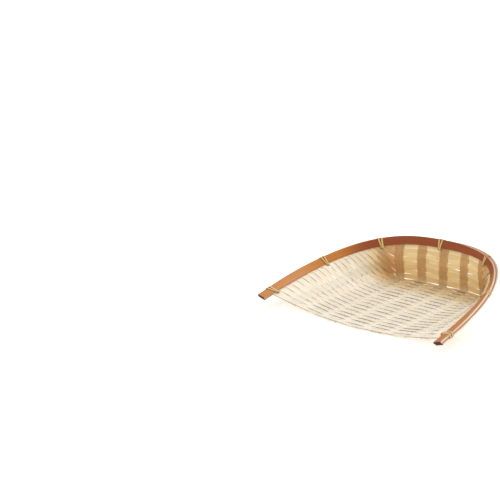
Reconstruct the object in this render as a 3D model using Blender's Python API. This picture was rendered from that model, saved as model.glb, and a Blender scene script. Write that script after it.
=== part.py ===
"""Zaru: a split bamboo draining basket with an open front, built strip by strip.

A plain weave of wide warps and narrow wefts lies flat as a floor, turns up softly at both sides
and with a crease at the back, and ends between two flat hoops, which seven lashings hold together.
X is to the right, Y runs from the open front to the back, Z is up. The origin is on the ground,
under the middle of the whole basket.
"""
import bmesh
import bpy
import numpy as np

MM = 0.001

# Rim, on the line midway between the two hoops
RIM_HALF_WIDTH = 111.0 * MM     # at the tips
RIM_LENGTH = 199.5 * MM
RIM_SQUARENESS = 2.78           # exponent of the plan, 2 for an ellipse
TIP_HEIGHT = 11.0 * MM
BACK_HEIGHT = 51.0 * MM
TIP_TILT = 0.27                 # radians from level, the way across the hoops at the tips
BACK_TILT = 1.30
TILT_RUN_SHARE = 0.58           # share of an arm's length over which the hoops twist upright

# Hoops
HOOP_WIDTH = 10.0 * MM
HOOP_THICKNESS = 1.9 * MM
OUTER_HOOP_SHORTER = 2.0 * MM
HOOP_STATIONS = 64

# Strips of the weave
WARP_WIDTH = 11.0 * MM
WARP_THICKNESS = 0.7 * MM
WARP_PITCH = 28.0 * MM
WARPS_EACH_SIDE = 3
WEFT_THICKNESS = 0.5 * MM
FLOOR_WEFTS = 35
WALL_WEFTS = 8
WEFT_GAP = 0.5 * MM             # between neighbours, on the floor
FLAT_MARGIN = 0.9 * MM          # a weft stays level this far past the edges of a warp
CLEARANCE = 0.3 * MM            # between pieces that touch on the real basket

# Floor
FLOOR_LENGTH = 183.0 * MM       # from the lip to the crease, on the middle line
LIP_SETBACK = 15.0 * MM         # from the tips' line back to the lip, on the middle line
LIP_BOW = 5.5 * MM              # how far the lip bulges forward at BOW_AT from the middle
CREASE_BOW = 5.0 * MM           # how far the crease bulges backward there
BOW_AT = 60.0 * MM
FLOOR_HALF_FRONT = 70.0 * MM    # half width where the sides turn up, at the front, middle and back
FLOOR_HALF_MIDDLE = 78.0 * MM
FLOOR_HALF_BACK = 63.0 * MM
WALL_CORNER_HALF = 72.0 * MM    # half width of the back wall under the rim
SIDE_BEND = 34.0 * MM           # length of the soft bend at the front half of the sides
CORNER_BEND = 10.0 * MM         # and at the back corners
BEND_FROM_SHARE = 0.5           # share of the floor's length where the bend begins to tighten
CREASE_ROUNDING = 2.2 * MM
CREASE_MARGIN = 1.8 * MM        # kept free of wefts on either side of the crease
CREASE_REACH = 12.0 * MM        # wefts this near the crease have more bends at the corner

# Ends of the strips at the rim
FIRST_WEFT_FROM_TIP = 26.5 * MM     # along the rim
LAST_WEFT_PAST_CORNER = 7.0 * MM    # along the rim, forward of the back wall's corner
STRIP_END_BELOW_EDGE = 1.0 * MM
TAIL_LENGTH = 12.0 * MM             # of a warp's end, folded under the lip
FOLD_PAST_LIP = 0.2 * MM
TAIL_RUNOUT = 16.0 * MM             # length over which the floor comes down behind the tails

# Strip along the lower edge of the outer hoop
RIM_STRIP_WIDTH = 1.8 * MM
RIM_STRIP_THICKNESS = 1.3 * MM

# Lashings
STRAND_WIDTH = 1.2 * MM
STRAND_THICKNESS = 0.45 * MM
STRAND_TURNS = 2
STRAND_GAP_LOW = 0.65 * MM      # between turns, where they pass through the weave
STRAND_GAP_HIGH = 1.5 * MM      # and over the top edge of the rim
STRAND_CORNER = 0.8 * MM
TIE_1_FROM_TIP = 22.8 * MM      # along the rim
TIE_2_AFTER_WEFTS = 17          # the second lashing passes behind this many wefts
TIE_6_AFTER_WEFTS = 19
TIE_3_HALF = 69.0 * MM          # left of the middle line, as is the next
TIE_4_HALF = 8.5 * MM
TIE_5_HALF = 64.5 * MM          # right of the middle line
TIE_HOLE_FADE = 9.0 * MM        # along the rim, how far the parted wefts close up again

# How finely the shapes are worked out
FINE_STEPS = 400
RIM_STEPS = 3000
CURVE_STEPS = 40
ROWS_BEYOND = 8                 # rows measured past the lip and past the last one
REACH_SHARE = 1.3               # how far out rows are measured, share of the rim's half width
CORNER_SHARES = (0.25, 0.5, 0.75)
MIDDLE_SHARES = (0.5,)

# Worked out from the sizes above
WEFT_PITCH = (FLOOR_LENGTH - CREASE_MARGIN) / FLOOR_WEFTS
WEAVE_RISE = (WARP_THICKNESS + WEFT_THICKNESS) / 2 + CLEARANCE      # weft centre off warp centre
WEAVE_HALF = WEAVE_RISE + WEFT_THICKNESS / 2
HOOP_GAP_HALF = WEAVE_HALF + CLEARANCE
HOOP_OFFSET = HOOP_GAP_HALF + HOOP_THICKNESS / 2
TAIL_DROP = WARP_THICKNESS + WEFT_THICKNESS + 2 * CLEARANCE
LIP_RISE = TAIL_DROP + WARP_THICKNESS / 2 - WEAVE_HALF
RIM_STRIP_C = -HOOP_WIDTH / 2 - CLEARANCE - RIM_STRIP_WIDTH / 2
LOOP_LOW = RIM_STRIP_C - RIM_STRIP_WIDTH / 2 - CLEARANCE - STRAND_THICKNESS / 2
LOOP_HIGH = HOOP_WIDTH / 2 + CLEARANCE + STRAND_THICKNESS / 2
LOOP_HALF = HOOP_OFFSET + HOOP_THICKNESS / 2 + CLEARANCE + STRAND_THICKNESS / 2
ENTRY_C = LOOP_LOW - STRAND_THICKNESS / 2 - CLEARANCE       # where the strips enter the rim
END_C = HOOP_WIDTH / 2 - STRIP_END_BELOW_EDGE
FINE = RIM_LENGTH / FINE_STEPS      # step for slopes
WEFT_FLAT_HALF = WARP_WIDTH / 2 + FLAT_MARGIN
CORNER_START = FLOOR_HALF_BACK - CORNER_BEND
BEND_START = min(FLOOR_HALF_FRONT - SIDE_BEND, CORNER_START)

BAMBOO = {
    "weft": ((0.86, 0.76, 0.58), 0.50),
    "warp": ((0.80, 0.66, 0.42), 0.52),
    "hoop": ((0.34, 0.10, 0.05), 0.38),
    "strip": ((0.62, 0.56, 0.22), 0.48),
    "lashing": ((0.66, 0.58, 0.25), 0.50),
}


def clear_scene():
    for item in list(bpy.data.objects):
        bpy.data.objects.remove(item, do_unlink=True)


def material(kind, name):
    colour, roughness = BAMBOO[kind]
    finish = bpy.data.materials.new(name + "_bamboo")
    finish.use_nodes = True
    shader = finish.node_tree.nodes["Principled BSDF"]
    shader.inputs["Base Color"].default_value = (*colour, 1.0)
    shader.inputs["Roughness"].default_value = roughness
    shader.inputs["Metallic"].default_value = 0.0
    return finish


def strip(name, kind, rows, thickness):
    """A flat strip: rows of points along its middle surface, thickened evenly to both sides."""
    rows = np.asarray(rows, float) - ORIGIN
    mesh = bpy.data.meshes.new(name)
    body = bmesh.new()
    verts = [[body.verts.new(point) for point in row] for row in rows]
    for near, far in zip(verts[:-1], verts[1:]):
        for i in range(len(near) - 1):
            body.faces.new((near[i], near[i + 1], far[i + 1], far[i]))
    bmesh.ops.recalc_face_normals(body, faces=body.faces)
    body.to_mesh(mesh)
    body.free()
    piece = bpy.data.objects.new(name, mesh)
    bpy.context.scene.collection.objects.link(piece)
    wall = piece.modifiers.new("Thickness", "SOLIDIFY")
    wall.thickness = thickness
    wall.offset = 0.0
    wall.use_even_offset = True
    mesh.materials.append(material(kind, name))
    return piece


def ease(share):
    share = np.clip(share, 0.0, 1.0)
    return share * share * (3.0 - 2.0 * share)


def mix(a, b, share):
    return a + (b - a) * share


def unit(vectors):
    return vectors / np.linalg.norm(vectors, axis=-1, keepdims=True)


def along(*parts):
    """Broadcasts x, y and z to one array of points."""
    return np.stack(np.broadcast_arrays(*parts), axis=-1).astype(float)


# The rim

RIM_ANGLES = np.linspace(0.0, np.pi / 2, RIM_STEPS)
RIM_X = RIM_HALF_WIDTH * np.sin(RIM_ANGLES) ** (2 / RIM_SQUARENESS)
RIM_Y = RIM_LENGTH * np.clip(np.cos(RIM_ANGLES), 0.0, 1.0) ** (2 / RIM_SQUARENESS)
RIM_Z = mix(TIP_HEIGHT, BACK_HEIGHT, RIM_Y / RIM_LENGTH)
RIM_LENGTHS = np.linalg.norm(np.diff(along(RIM_X, RIM_Y, RIM_Z), axis=0), axis=1)
RIM_D = np.concatenate([[0.0], np.cumsum(RIM_LENGTHS)])
RIM_HALF_ARC = RIM_D[-1]


def rim_point(d):
    """A point of the rim by its distance d from the middle of the back, positive to the right."""
    side = np.abs(d)
    x = np.sign(d) * np.interp(side, RIM_D, RIM_X)
    return along(x, np.interp(side, RIM_D, RIM_Y), np.interp(side, RIM_D, RIM_Z))


def rim_frame(d):
    """The ways along, across and into the basket at a distance along the rim."""
    d = np.asarray(d, float)
    ahead = np.clip(d + FINE, -RIM_HALF_ARC, RIM_HALF_ARC)
    behind = np.clip(d - FINE, -RIM_HALF_ARC, RIM_HALF_ARC)
    tangent = unit(rim_point(ahead) - rim_point(behind))
    outward = unit(along(-tangent[..., 1], tangent[..., 0], 0.0 * d))
    run = ease((1.0 - np.abs(d) / RIM_HALF_ARC) / TILT_RUN_SHARE)
    tilt = mix(TIP_TILT, BACK_TILT, run)[..., None]
    across = outward * np.cos(tilt) + np.array([0.0, 0.0, 1.0]) * np.sin(tilt)
    across = unit(across - tangent * np.sum(across * tangent, axis=-1, keepdims=True))
    return tangent, across, np.cross(tangent, across)


def band(d, c, n):
    """A point of the rim's section: c across the hoops towards the top edge, n into the basket."""
    d, c, n = np.broadcast_arrays(np.asarray(d, float), c, n)
    tangent, across, inward = rim_frame(d)
    return rim_point(d) + across * c[..., None] + inward * n[..., None]


def origin():
    """The ground under the middle, between the inner hoop's tips and the lashing at the back."""
    tip = band(RIM_HALF_ARC, np.array([-HOOP_WIDTH, HOOP_WIDTH]) / 2, HOOP_OFFSET + HOOP_THICKNESS / 2)
    back = band(TIE_4_D, LOOP_HIGH, -LOOP_HALF - STRAND_THICKNESS / 2)
    return np.array([0.0, (tip[:, 1].min() + back[1]) / 2, 0.0])


def rim_distance_at(x):
    """Distance along the rim of the point straight behind x."""
    return np.interp(np.abs(x), RIM_X, RIM_D) * np.sign(x)


TIE_4_D = -rim_distance_at(TIE_4_HALF)
ORIGIN = origin()


# The woven surface, by rows: v runs on the middle line from the lip over the floor and up the wall

def floor_point(x, v):
    bow = mix(-LIP_BOW, CREASE_BOW, v / FLOOR_LENGTH)
    height = WEAVE_HALF + LIP_RISE * ease(1.0 - (v - TAIL_LENGTH) / TAIL_RUNOUT)
    return along(x, LIP_SETBACK + v - bow * (x / BOW_AT) ** 2, height)


WALL_HEIGHT = np.linalg.norm(band(0.0, ENTRY_C, 0.0) - floor_point(0.0, FLOOR_LENGTH))
ROWS_LENGTH = FLOOR_LENGTH + WALL_HEIGHT
LAST_ROW_END = rim_distance_at(WALL_CORNER_HALF) + LAST_WEFT_PAST_CORNER
FIRST_ROW_END = RIM_HALF_ARC - FIRST_WEFT_FROM_TIP


def wall_point(x, w):
    """A point of the back wall, w above the crease. Past its top it runs on between the hoops."""
    foot = floor_point(x, FLOOR_LENGTH)
    d = rim_distance_at(x)
    head = band(d, ENTRY_C, 0.0)
    if w > WALL_HEIGHT:
        return band(d, ENTRY_C + w - WALL_HEIGHT, 0.0)
    share = max(w, 0.0) / WALL_HEIGHT
    across = rim_frame(d)[1]
    rise = (head - foot)[..., 2:]
    leave = rise * unit((head - foot) / rise)
    arrive = rise * across
    return (foot * (1 + 2 * share) * (1 - share) ** 2 + head * share * share * (3 - 2 * share)
            + leave * share * (1 - share) ** 2 - arrive * share * share * (1 - share))


def row_end_distance(v):
    """Where a row meets the rim: rows lie closer together there the further back they are."""
    squeeze = 1.0 - (FIRST_ROW_END - LAST_ROW_END) / ROWS_LENGTH
    v = np.minimum(v, ROWS_LENGTH)
    return FIRST_ROW_END - v * (1.0 - squeeze * v / ROWS_LENGTH)


def floor_half_width(v):
    share = v / FLOOR_LENGTH
    front = mix(FLOOR_HALF_FRONT, FLOOR_HALF_MIDDLE, ease(2.0 * share))
    return mix(front, FLOOR_HALF_BACK, ease(2.0 * share - 1.0))


def bezier(a, b, c, d):
    t = np.linspace(0.0, 1.0, CURVE_STEPS)[1:, None]
    return a * (1 - t) ** 3 + 3 * b * t * (1 - t) ** 2 + 3 * c * t * t * (1 - t) + d * t ** 3


def row_path(v):
    """The right half of one row: straight, bent up at the side or round the corner, into the rim."""
    if v <= FLOOR_LENGTH:
        corner_x = floor_half_width(v)
        tighten = ease((v / FLOOR_LENGTH - BEND_FROM_SHARE) / (1.0 - BEND_FROM_SHARE))
        bend = mix(SIDE_BEND, CORNER_BEND, tighten)
        base = floor_point
        level = v
    else:
        share = min((v - FLOOR_LENGTH) / WALL_HEIGHT, 1.0)
        corner_x = mix(FLOOR_HALF_BACK, WALL_CORNER_HALF, share)
        bend = CORNER_BEND
        base = wall_point
        level = v - FLOOR_LENGTH
    straight = base(np.linspace(0.0, corner_x - bend, CURVE_STEPS), level)
    corner = base(np.array([corner_x]), level)[0]
    d = row_end_distance(v)
    entry = band(d, ENTRY_C, 0.0)
    tangent, across = rim_frame(d)[:2]
    chord = entry - corner
    up = max(np.dot(chord, across), abs(np.dot(chord, tangent)))
    slant = np.dot(chord, tangent) / up
    arrive = unit(across + tangent * slant)
    curve = bezier(straight[-1], corner, entry - arrive * np.linalg.norm(chord) / 3, entry)
    c = np.linspace(ENTRY_C, END_C, CURVE_STEPS)[1:]
    return np.vstack([straight, curve, band(d + slant * (c - ENTRY_C), c, 0.0)])


LAST_V = ROWS_LENGTH + END_C - ENTRY_C
GRID_V = np.arange(-ROWS_BEYOND, LAST_V / FINE + ROWS_BEYOND) * FINE
GRID_A = np.arange(0.0, RIM_HALF_WIDTH * REACH_SHARE, FINE * 2)


def measure_rows():
    """Every row by the distance a along it from the middle line, with its whole length."""
    grid = np.zeros((len(GRID_V), len(GRID_A), 3))
    ends = np.zeros(len(GRID_V))
    for i, v in enumerate(GRID_V):
        path = row_path(v)
        length = np.concatenate([[0.0], np.cumsum(np.linalg.norm(np.diff(path, axis=0), axis=1))])
        ends[i] = length[-1]
        for axis in range(3):
            grid[i, :, axis] = np.interp(GRID_A, length, path[:, axis])
    return grid, ends


GRID, ROW_ENDS = measure_rows()


def row_end(v):
    return np.interp(v, GRID_V, ROW_ENDS)


def plain_surface(a, v):
    """A point of the woven surface, a across from the middle line and v along it."""
    a, v = np.broadcast_arrays(np.asarray(a, float), np.asarray(v, float))
    row = np.clip((v - GRID_V[0]) / FINE, 0.0, len(GRID_V) - 1.001)
    column = np.clip(np.abs(a) / (2 * FINE), 0.0, len(GRID_A) - 1.001)
    i, j = row.astype(int), column.astype(int)
    p, q = (row - i)[..., None], (column - j)[..., None]
    low = mix(GRID[i, j], GRID[i, j + 1], q)
    high = mix(GRID[i + 1, j], GRID[i + 1, j + 1], q)
    point = mix(low, high, p)
    point[..., 0] *= np.where(a < 0, -1.0, 1.0)
    return point


def surface(a, v):
    """The woven surface with its crease rounded."""
    a, v = np.broadcast_arrays(np.asarray(a, float), np.asarray(v, float))
    t = np.clip((v - FLOOR_LENGTH) / CREASE_ROUNDING * 0.5 + 0.5, 0.0, 1.0)[..., None]
    before = plain_surface(a, FLOOR_LENGTH - CREASE_ROUNDING)
    crease = plain_surface(a, FLOOR_LENGTH)
    after = plain_surface(a, FLOOR_LENGTH + CREASE_ROUNDING)
    rounded = before * (1 - t) ** 2 + crease * 2 * t * (1 - t) + after * t * t
    return np.where((t > 0.0) & (t < 1.0), rounded, plain_surface(a, v))


def inward_normal(a, v):
    """The way square to the surface, up from the floor and into the basket."""
    a, v = np.broadcast_arrays(np.asarray(a, float), np.asarray(v, float))
    step = 2 * FINE
    limit = row_end(v) - step
    a = np.clip(a, -limit, limit)
    across = surface(a + step, v) - surface(a - step, v)
    onward = surface(a, v + step) - surface(a, v - step)
    return unit(np.cross(across, onward))


def woven_point(a, v, n):
    return surface(a, v) + inward_normal(a, v) * np.asarray(n, float)[..., None]


# The weave

def warp_places():
    return [j * WARP_PITCH for j in range(-WARPS_EACH_SIDE, WARPS_EACH_SIDE + 1)]


def weft_limits(k):
    """The front and back edge of weft k on the middle line, counted from the lip."""
    if k < FLOOR_WEFTS:
        start, pitch = k * WEFT_PITCH, WEFT_PITCH
    else:
        pitch = (WALL_HEIGHT - CREASE_MARGIN) / WALL_WEFTS
        start = FLOOR_LENGTH + CREASE_MARGIN + (k - FLOOR_WEFTS) * pitch
    gap = WEFT_GAP / 2 * pitch / WEFT_PITCH
    return start + gap, start + pitch - gap


TIE_2_V = TIE_2_AFTER_WEFTS * WEFT_PITCH
TIE_6_V = TIE_6_AFTER_WEFTS * WEFT_PITCH
TIE_FOOT_HALF = (STRAND_TURNS * STRAND_WIDTH + (STRAND_TURNS - 1) * STRAND_GAP_LOW) / 2 + CLEARANCE


def parted(v, tie_v, near_rim):
    """Moves a weft's edge away from a lashing, near the rim, so that its strands pass."""
    crowd = -(row_end_distance(tie_v + FINE) - row_end_distance(tie_v)) / FINE
    push = TIE_FOOT_HALF / crowd - WEFT_GAP / 2
    fade = np.exp(-(((v - tie_v) * crowd / TIE_HOLE_FADE) ** 2))
    return v + np.where(v > tie_v, push, -push) * fade * near_rim


def weft_stations(v):
    """Distances from the middle line at which the right half of a weft bends."""
    creased = abs(v - FLOOR_LENGTH) < CREASE_REACH
    shares = CORNER_SHARES if v > FLOOR_LENGTH - CREASE_REACH else MIDDLE_SHARES
    stations = []
    for j in range(WARPS_EACH_SIDE + 1):
        middle = j * WARP_PITCH
        near, far = middle - WEFT_FLAT_HALF, middle + WEFT_FLAT_HALF
        stations += [near, far]
        if far > BEND_START:
            stations.append(middle)
        if creased and near < FLOOR_HALF_BACK and far > CORNER_START:
            stations += [(near + middle) / 2, (middle + far) / 2]
        if far > BEND_START and j < WARPS_EACH_SIDE:
            stations += [mix(far, near + WARP_PITCH, share) for share in shares]
    entry = row_end(v) - (END_C - ENTRY_C)
    stations = sorted(a for a in stations if 0.0 < a < entry - CLEARANCE)
    if entry - stations[-1] > HOOP_WIDTH:
        stations.append((stations[-1] + entry) / 2)
    return stations


def weft(k):
    """One crosswise strip, over one warp and under the next, its ends between the hoops."""
    front, back = weft_limits(k)
    middle = (front + back) / 2
    bends = weft_stations(middle)
    reach = bends[-1]
    end = row_end(middle)
    entry = end - (END_C - ENTRY_C)

    def level(a):
        """Height off the surface, in rises: +1 inside the basket, -1 outside."""
        centres = np.array(warp_places())
        signs = np.array([1.0 if (k + j) % 2 == 0 else -1.0 for j in range(len(centres))])
        knots = np.stack([centres - WEFT_FLAT_HALF, centres + WEFT_FLAT_HALF], axis=-1).ravel()
        return np.interp(a, knots, np.repeat(signs, 2))

    rows = []
    half = bends + [entry, end]
    for a in [-a for a in reversed(half)] + half:
        side = np.sign(a)
        size = abs(a)
        near_rim = float(np.clip((size - reach) / max(entry - reach, CLEARANCE), 0.0, 1.0))
        edges = []
        for v in (front, back):
            v = float(parted(v, TIE_2_V if a < 0.0 else TIE_6_V, near_rim))
            across = size
            if size > reach:
                beyond = (size - reach) / (end - reach)
                across = reach + (row_end(v) - reach) * beyond
            edges.append(woven_point(side * across, v, level(a) * WEAVE_RISE))
        rows.append(edges)
    return strip("weft_%02d" % (k + 1), "weft", rows, WEFT_THICKNESS)


def warp(index, place):
    """One lengthwise strip: folded under at the lip, along the floor, up the wall, into the rim."""
    outer = abs(place) + WARP_WIDTH / 2
    bent = outer > BEND_START
    a = place + WARP_WIDTH / 2 * np.linspace(-1.0, 1.0, 5 if bent else 2)
    last = LAST_V
    if outer > WALL_CORNER_HALF:
        fine = np.linspace(FLOOR_LENGTH, last, FINE_STEPS)
        last = fine[row_end(fine) > outer + CLEARANCE][-1]
    rows = [(TAIL_LENGTH, -TAIL_DROP)]
    for angle in np.linspace(-np.pi / 2, -np.pi * 3 / 2, 5):
        rows.append((np.cos(angle) * TAIL_DROP / 2 - FOLD_PAST_LIP, (np.sin(angle) - 1.0) * TAIL_DROP / 2))
    stops = [(TAIL_LENGTH, TAIL_LENGTH + TAIL_RUNOUT, 4),
             (TAIL_LENGTH + TAIL_RUNOUT, FLOOR_LENGTH - CREASE_ROUNDING, 12 if bent else 2),
             (FLOOR_LENGTH - CREASE_ROUNDING, FLOOR_LENGTH + CREASE_ROUNDING, 4),
             (FLOOR_LENGTH + CREASE_ROUNDING, last, 9)]
    rows.append((TAIL_LENGTH, 0.0))
    for start, stop, count in stops:
        rows += [(v, 0.0) for v in np.linspace(start, stop, count)[1:]]
    points = [[woven_point(edge, v, n) for edge in a] for v, n in rows]
    return strip("warp_%d" % (index + 1), "warp", points, WARP_THICKNESS)


# The rim's pieces

def hoop(name, n, shorter):
    reach = RIM_HALF_ARC - shorter
    rows = []
    for d in np.linspace(-reach, reach, HOOP_STATIONS):
        rows.append([band(d, -HOOP_WIDTH / 2, n), band(d, HOOP_WIDTH / 2, n)])
    return strip(name, "hoop", rows, HOOP_THICKNESS)


def rim_strip():
    reach = RIM_HALF_ARC - OUTER_HOOP_SHORTER
    rows = []
    for d in np.linspace(-reach, reach, HOOP_STATIONS):
        low, high = RIM_STRIP_C - RIM_STRIP_WIDTH / 2, RIM_STRIP_C + RIM_STRIP_WIDTH / 2
        rows.append([band(d, low, -HOOP_OFFSET), band(d, high, -HOOP_OFFSET)])
    return strip("rim_strip", "strip", rows, RIM_STRIP_THICKNESS)


def loop_outline():
    """One turn round the hoops in the rim's section, from below, up the inside, over and down."""
    corners = [(LOOP_LOW, LOOP_HALF, np.pi), (LOOP_HIGH, LOOP_HALF, np.pi / 2),
               (LOOP_HIGH, -LOOP_HALF, 0.0), (LOOP_LOW, -LOOP_HALF, -np.pi / 2)]
    outline = []
    for c, n, first in corners:
        centre_c = c - np.sign(c) * STRAND_CORNER
        centre_n = n - np.sign(n) * STRAND_CORNER
        for angle in np.linspace(first, first - np.pi / 2, 3):
            outline.append((centre_c + np.cos(angle) * STRAND_CORNER,
                            centre_n + np.sin(angle) * STRAND_CORNER))
    return outline


def lashing(number, d):
    """A flat strand wound round both hoops, spread over the top edge and drawn together below."""
    outline = loop_outline()
    count = STRAND_TURNS * len(outline)
    rows, middles = [], []
    for i in range(count):
        c, n = outline[i % len(outline)]
        turn = (i + 0.5) / len(outline) - STRAND_TURNS / 2
        height = (c - LOOP_LOW) / (LOOP_HIGH - LOOP_LOW)
        lead = STRAND_WIDTH + mix(STRAND_GAP_LOW, STRAND_GAP_HIGH, height)
        place = d + turn * lead
        rows.append([band(place - STRAND_WIDTH / 2, c, n), band(place + STRAND_WIDTH / 2, c, n)])
        middles.append(band(place, c, n))
    middles = np.array(middles)
    turn_apart = np.linalg.norm(middles[len(outline):] - middles[:-len(outline)], axis=1)
    gap = (turn_apart.min() - STRAND_WIDTH) / MM
    print("lashing %d: least gap between turns %.2f mm" % (number, gap))
    return strip("lashing_%d" % number, "lashing", rows, STRAND_THICKNESS)


def lashing_places():
    left = [TIE_1_FROM_TIP - RIM_HALF_ARC, -row_end_distance(TIE_2_V), -rim_distance_at(TIE_3_HALF)]
    right = [rim_distance_at(TIE_5_HALF), row_end_distance(TIE_6_V), RIM_HALF_ARC - TIE_1_FROM_TIP]
    return left + [TIE_4_D] + right


def build():
    clear_scene()
    for index, place in enumerate(warp_places()):
        warp(index, place)
    for k in range(FLOOR_WEFTS + WALL_WEFTS):
        weft(k)
    hoop("inner_hoop", HOOP_OFFSET, 0.0)
    hoop("outer_hoop", -HOOP_OFFSET, OUTER_HOOP_SHORTER)
    rim_strip()
    for number, d in enumerate(lashing_places(), 1):
        lashing(number, d)


build()
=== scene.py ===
"""A zaru: a split bamboo draining basket with an open front, made strip by strip.

Every strip, hoop and lashing of the real basket is a piece of its own here, swept along a rail that
lies in the woven surface. X is to the right, Y from the open front to the back, Z up, in metres.
"""
import math
from functools import partial

import bpy
import numpy as np
from mathutils import Matrix, Vector


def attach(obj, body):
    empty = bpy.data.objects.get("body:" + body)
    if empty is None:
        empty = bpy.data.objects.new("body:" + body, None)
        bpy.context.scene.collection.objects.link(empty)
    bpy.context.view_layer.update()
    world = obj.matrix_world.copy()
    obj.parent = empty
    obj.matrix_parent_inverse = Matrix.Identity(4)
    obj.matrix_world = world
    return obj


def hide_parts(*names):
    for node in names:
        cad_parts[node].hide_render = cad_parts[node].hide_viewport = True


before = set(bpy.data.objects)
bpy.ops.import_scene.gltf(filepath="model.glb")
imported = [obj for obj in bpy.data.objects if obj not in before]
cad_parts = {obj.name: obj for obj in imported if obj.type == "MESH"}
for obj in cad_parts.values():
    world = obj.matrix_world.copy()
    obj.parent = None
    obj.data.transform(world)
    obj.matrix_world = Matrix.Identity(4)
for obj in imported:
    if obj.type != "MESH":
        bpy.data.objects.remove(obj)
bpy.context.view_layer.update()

bl_info = {
    "name": "Woven Bamboo Basket",
    "version": (1, 0, 0),
    "blender": (4, 5, 0),
    "location": "3D View > Sidebar > Basket",
    "description": "An open-front draining basket of split bamboo with a lashed two-hoop rim",
    "category": "Add Mesh",
}

MM = 0.001

# Rim, on the line midway between the two hoops
RIM_HALF_WIDTH = 111.0 * MM
RIM_LENGTH = 199.5 * MM  # from the tips' line to the middle of the back
RIM_SQUARENESS = 2.78  # exponent of the plan, 2 for an ellipse
CENTRE_Y = 101.99 * MM  # from the tips' line back to the middle of the whole basket
TIP_HEIGHT, BACK_HEIGHT = 13.0 * MM, 51.0 * MM
TIP_TILT, BACK_TILT = 0.33, 1.30  # radians from level, the way across the hoops
TILT_RUN_LEFT_SHARE = 0.58  # of the half length, over which the left arm turns up from its tip
TILT_RUN_RIGHT_SHARE = 0.90  # and the right one

# The rim's section: c across the hoops towards their top edge, n into the basket
HOOP_WIDTH = 10.0 * MM
INNER_HOOP_N = (0.3 * MM, 2.6 * MM)  # faces of the inner hoop, towards the strips and into the basket
OUTER_HOOP_N = (-0.5 * MM, -2.0 * MM)  # and of the outer hoop, which is split thinner
OUTER_HOOP_SHORTER = 2.0 * MM  # at each tip
RIM_STRIP_C = -6.2 * MM  # middle of the thin strip under the outer hoop
RIM_STRIP_ROOM = 1.8 * MM  # that a lashing leaves for this strip
RIM_STRIP_SHORTER = 20.0 * MM  # at each tip, so that it ends at the first and the last lashing
ENTRY_C = -8.15 * MM  # where the strips of the weave enter the rim
END_C = 1.8 * MM  # where they are cut off, between the hoops
TIP_TAPER = 50.0 * MM  # last stretch of a hoop, over which it is planed narrower
TIP_TAPER_SHARE = 0.12
LEAN_SHARE = 0.20  # of its width that the inner hoop lacks at its top, round the right corner
LEAN_FROM, LEAN_RUN_IN = 5.0 * MM, 45.0 * MM  # along the rim from the middle of the back
LEAN_UNTIL, LEAN_RUN_OUT = 150.0 * MM, 40.0 * MM
END_DARK_DEPTH = 0.4 * MM  # how far the dark of a hoop's cut end runs into it

# The woven surface: v runs from the lip over the floor and up the back wall, a or x to its sides
FLOOR_LENGTH = 183.0 * MM  # from the lip to the crease, on the middle line
LIP_SETBACK = 15.0 * MM  # from the tips' line back to the lip
LIP_BOW = 7.0 * MM  # how far the lip bulges forward in the middle
CREASE_BOW = 5.0 * MM  # and the crease backward
BOW_AT = 60.0 * MM  # from the middle line, where both bows are measured
FLOOR_HALF_FRONT = 70.0 * MM  # half width of the level floor, at the lip
FLOOR_HALF_MIDDLE = 78.0 * MM
FLOOR_HALF_BACK = 63.0 * MM
WALL_CORNER_HALF = 65.0 * MM  # from the middle line to the wall's top corners
SIDE_BEND = 34.0 * MM  # before the floor's edge, where a row at the front begins to turn up
CORNER_BEND = 8.0 * MM  # and a row at the back
BEND_FROM_SHARE = 0.5  # of the floor's length, where the bends begin to tighten
CREASE_ROUNDING = 2.2 * MM  # half the stretch that the crease is rounded over
CREASE_MARGIN = 1.8 * MM  # from the crease to the even rows of the floor and of the wall
SURFACE_HEIGHT = 1.15 * MM  # of the weave's middle over the ground
LIP_RISE = 1.0 * MM  # of the surface over the folded ends
FIRST_ROW_FROM_TIP = 16.0 * MM  # along the rim, where the lip enters it
LAST_ROW_PAST_CORNER = 2.0 * MM  # along the rim, where the wall's top row enters it
RAISED_MOST = 6.0 * MM  # how far up between the hoops a row may run before it turns in

# Samples that the surface is worked out from
FINE = RIM_LENGTH / 400  # step for slopes
RIM_SAMPLES, CURVE_SAMPLES, SAMPLES_BEYOND = 3000, 40, 8
REACH_SHARE = 1.3  # of the rim's half width that the longest row stays under
LAST_CELL = 1.001  # keeps a sample inside the grid's last cell

# Lengthwise strips
WARP_WIDTH, WARP_PITCH, WARPS_EACH_SIDE = 11.0 * MM, 28.0 * MM, 3
WARP_END_WIDTH = 2.5 * MM  # left of a lengthwise strip where the rim's slant has cut it off
TAIL_LENGTH = 12.0 * MM  # of a strip's end, folded under the lip
TAIL_RUNOUT = 16.0 * MM  # over which the surface comes down behind it
FOLD_STOPS = 9
TOP_STOPS = 400  # at which a strip's top end is looked for
WARP_TONES = (0.2, 0.8)  # least and most

# Crosswise strips
FLOOR_WEFTS, WALL_WEFTS = 35, 8
PITCH = (FLOOR_LENGTH - CREASE_MARGIN) / FLOOR_WEFTS
RIM_APPROACH = 14.0 * MM  # last stretch of a strip before the rim
LIP_OVERHANG = 1.0 * MM  # of the first strip over the folds
LIP_RISE_SHARE = 0.4  # of the others' rise over the lengthwise strips, for the first strip
WALL_RISE_SHARE = 0.8  # and for the strips of the wall
WALL_LIFT = 3.6 * MM  # how much higher the top strip of the back wall is pushed
SIDE_FROM, SIDE_SETTLE = 66.0 * MM, 12.0 * MM  # where the strips begin to overlap at the sides
SIDE_SPREAD = 0.09  # share by which they are wider there
SIDE_RISE_SHARE = 0.35  # of the rise that is left there
CORNER_SPREAD = 0.22  # share by which the floor's last strips are wider in the corners
CORNER_ROWS_FROM, CORNER_ROWS = 26, 5  # from the first of them to the fullest share
SWELL_STOPS = 9  # places with an uneven width or course of their own, along a strip
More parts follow.
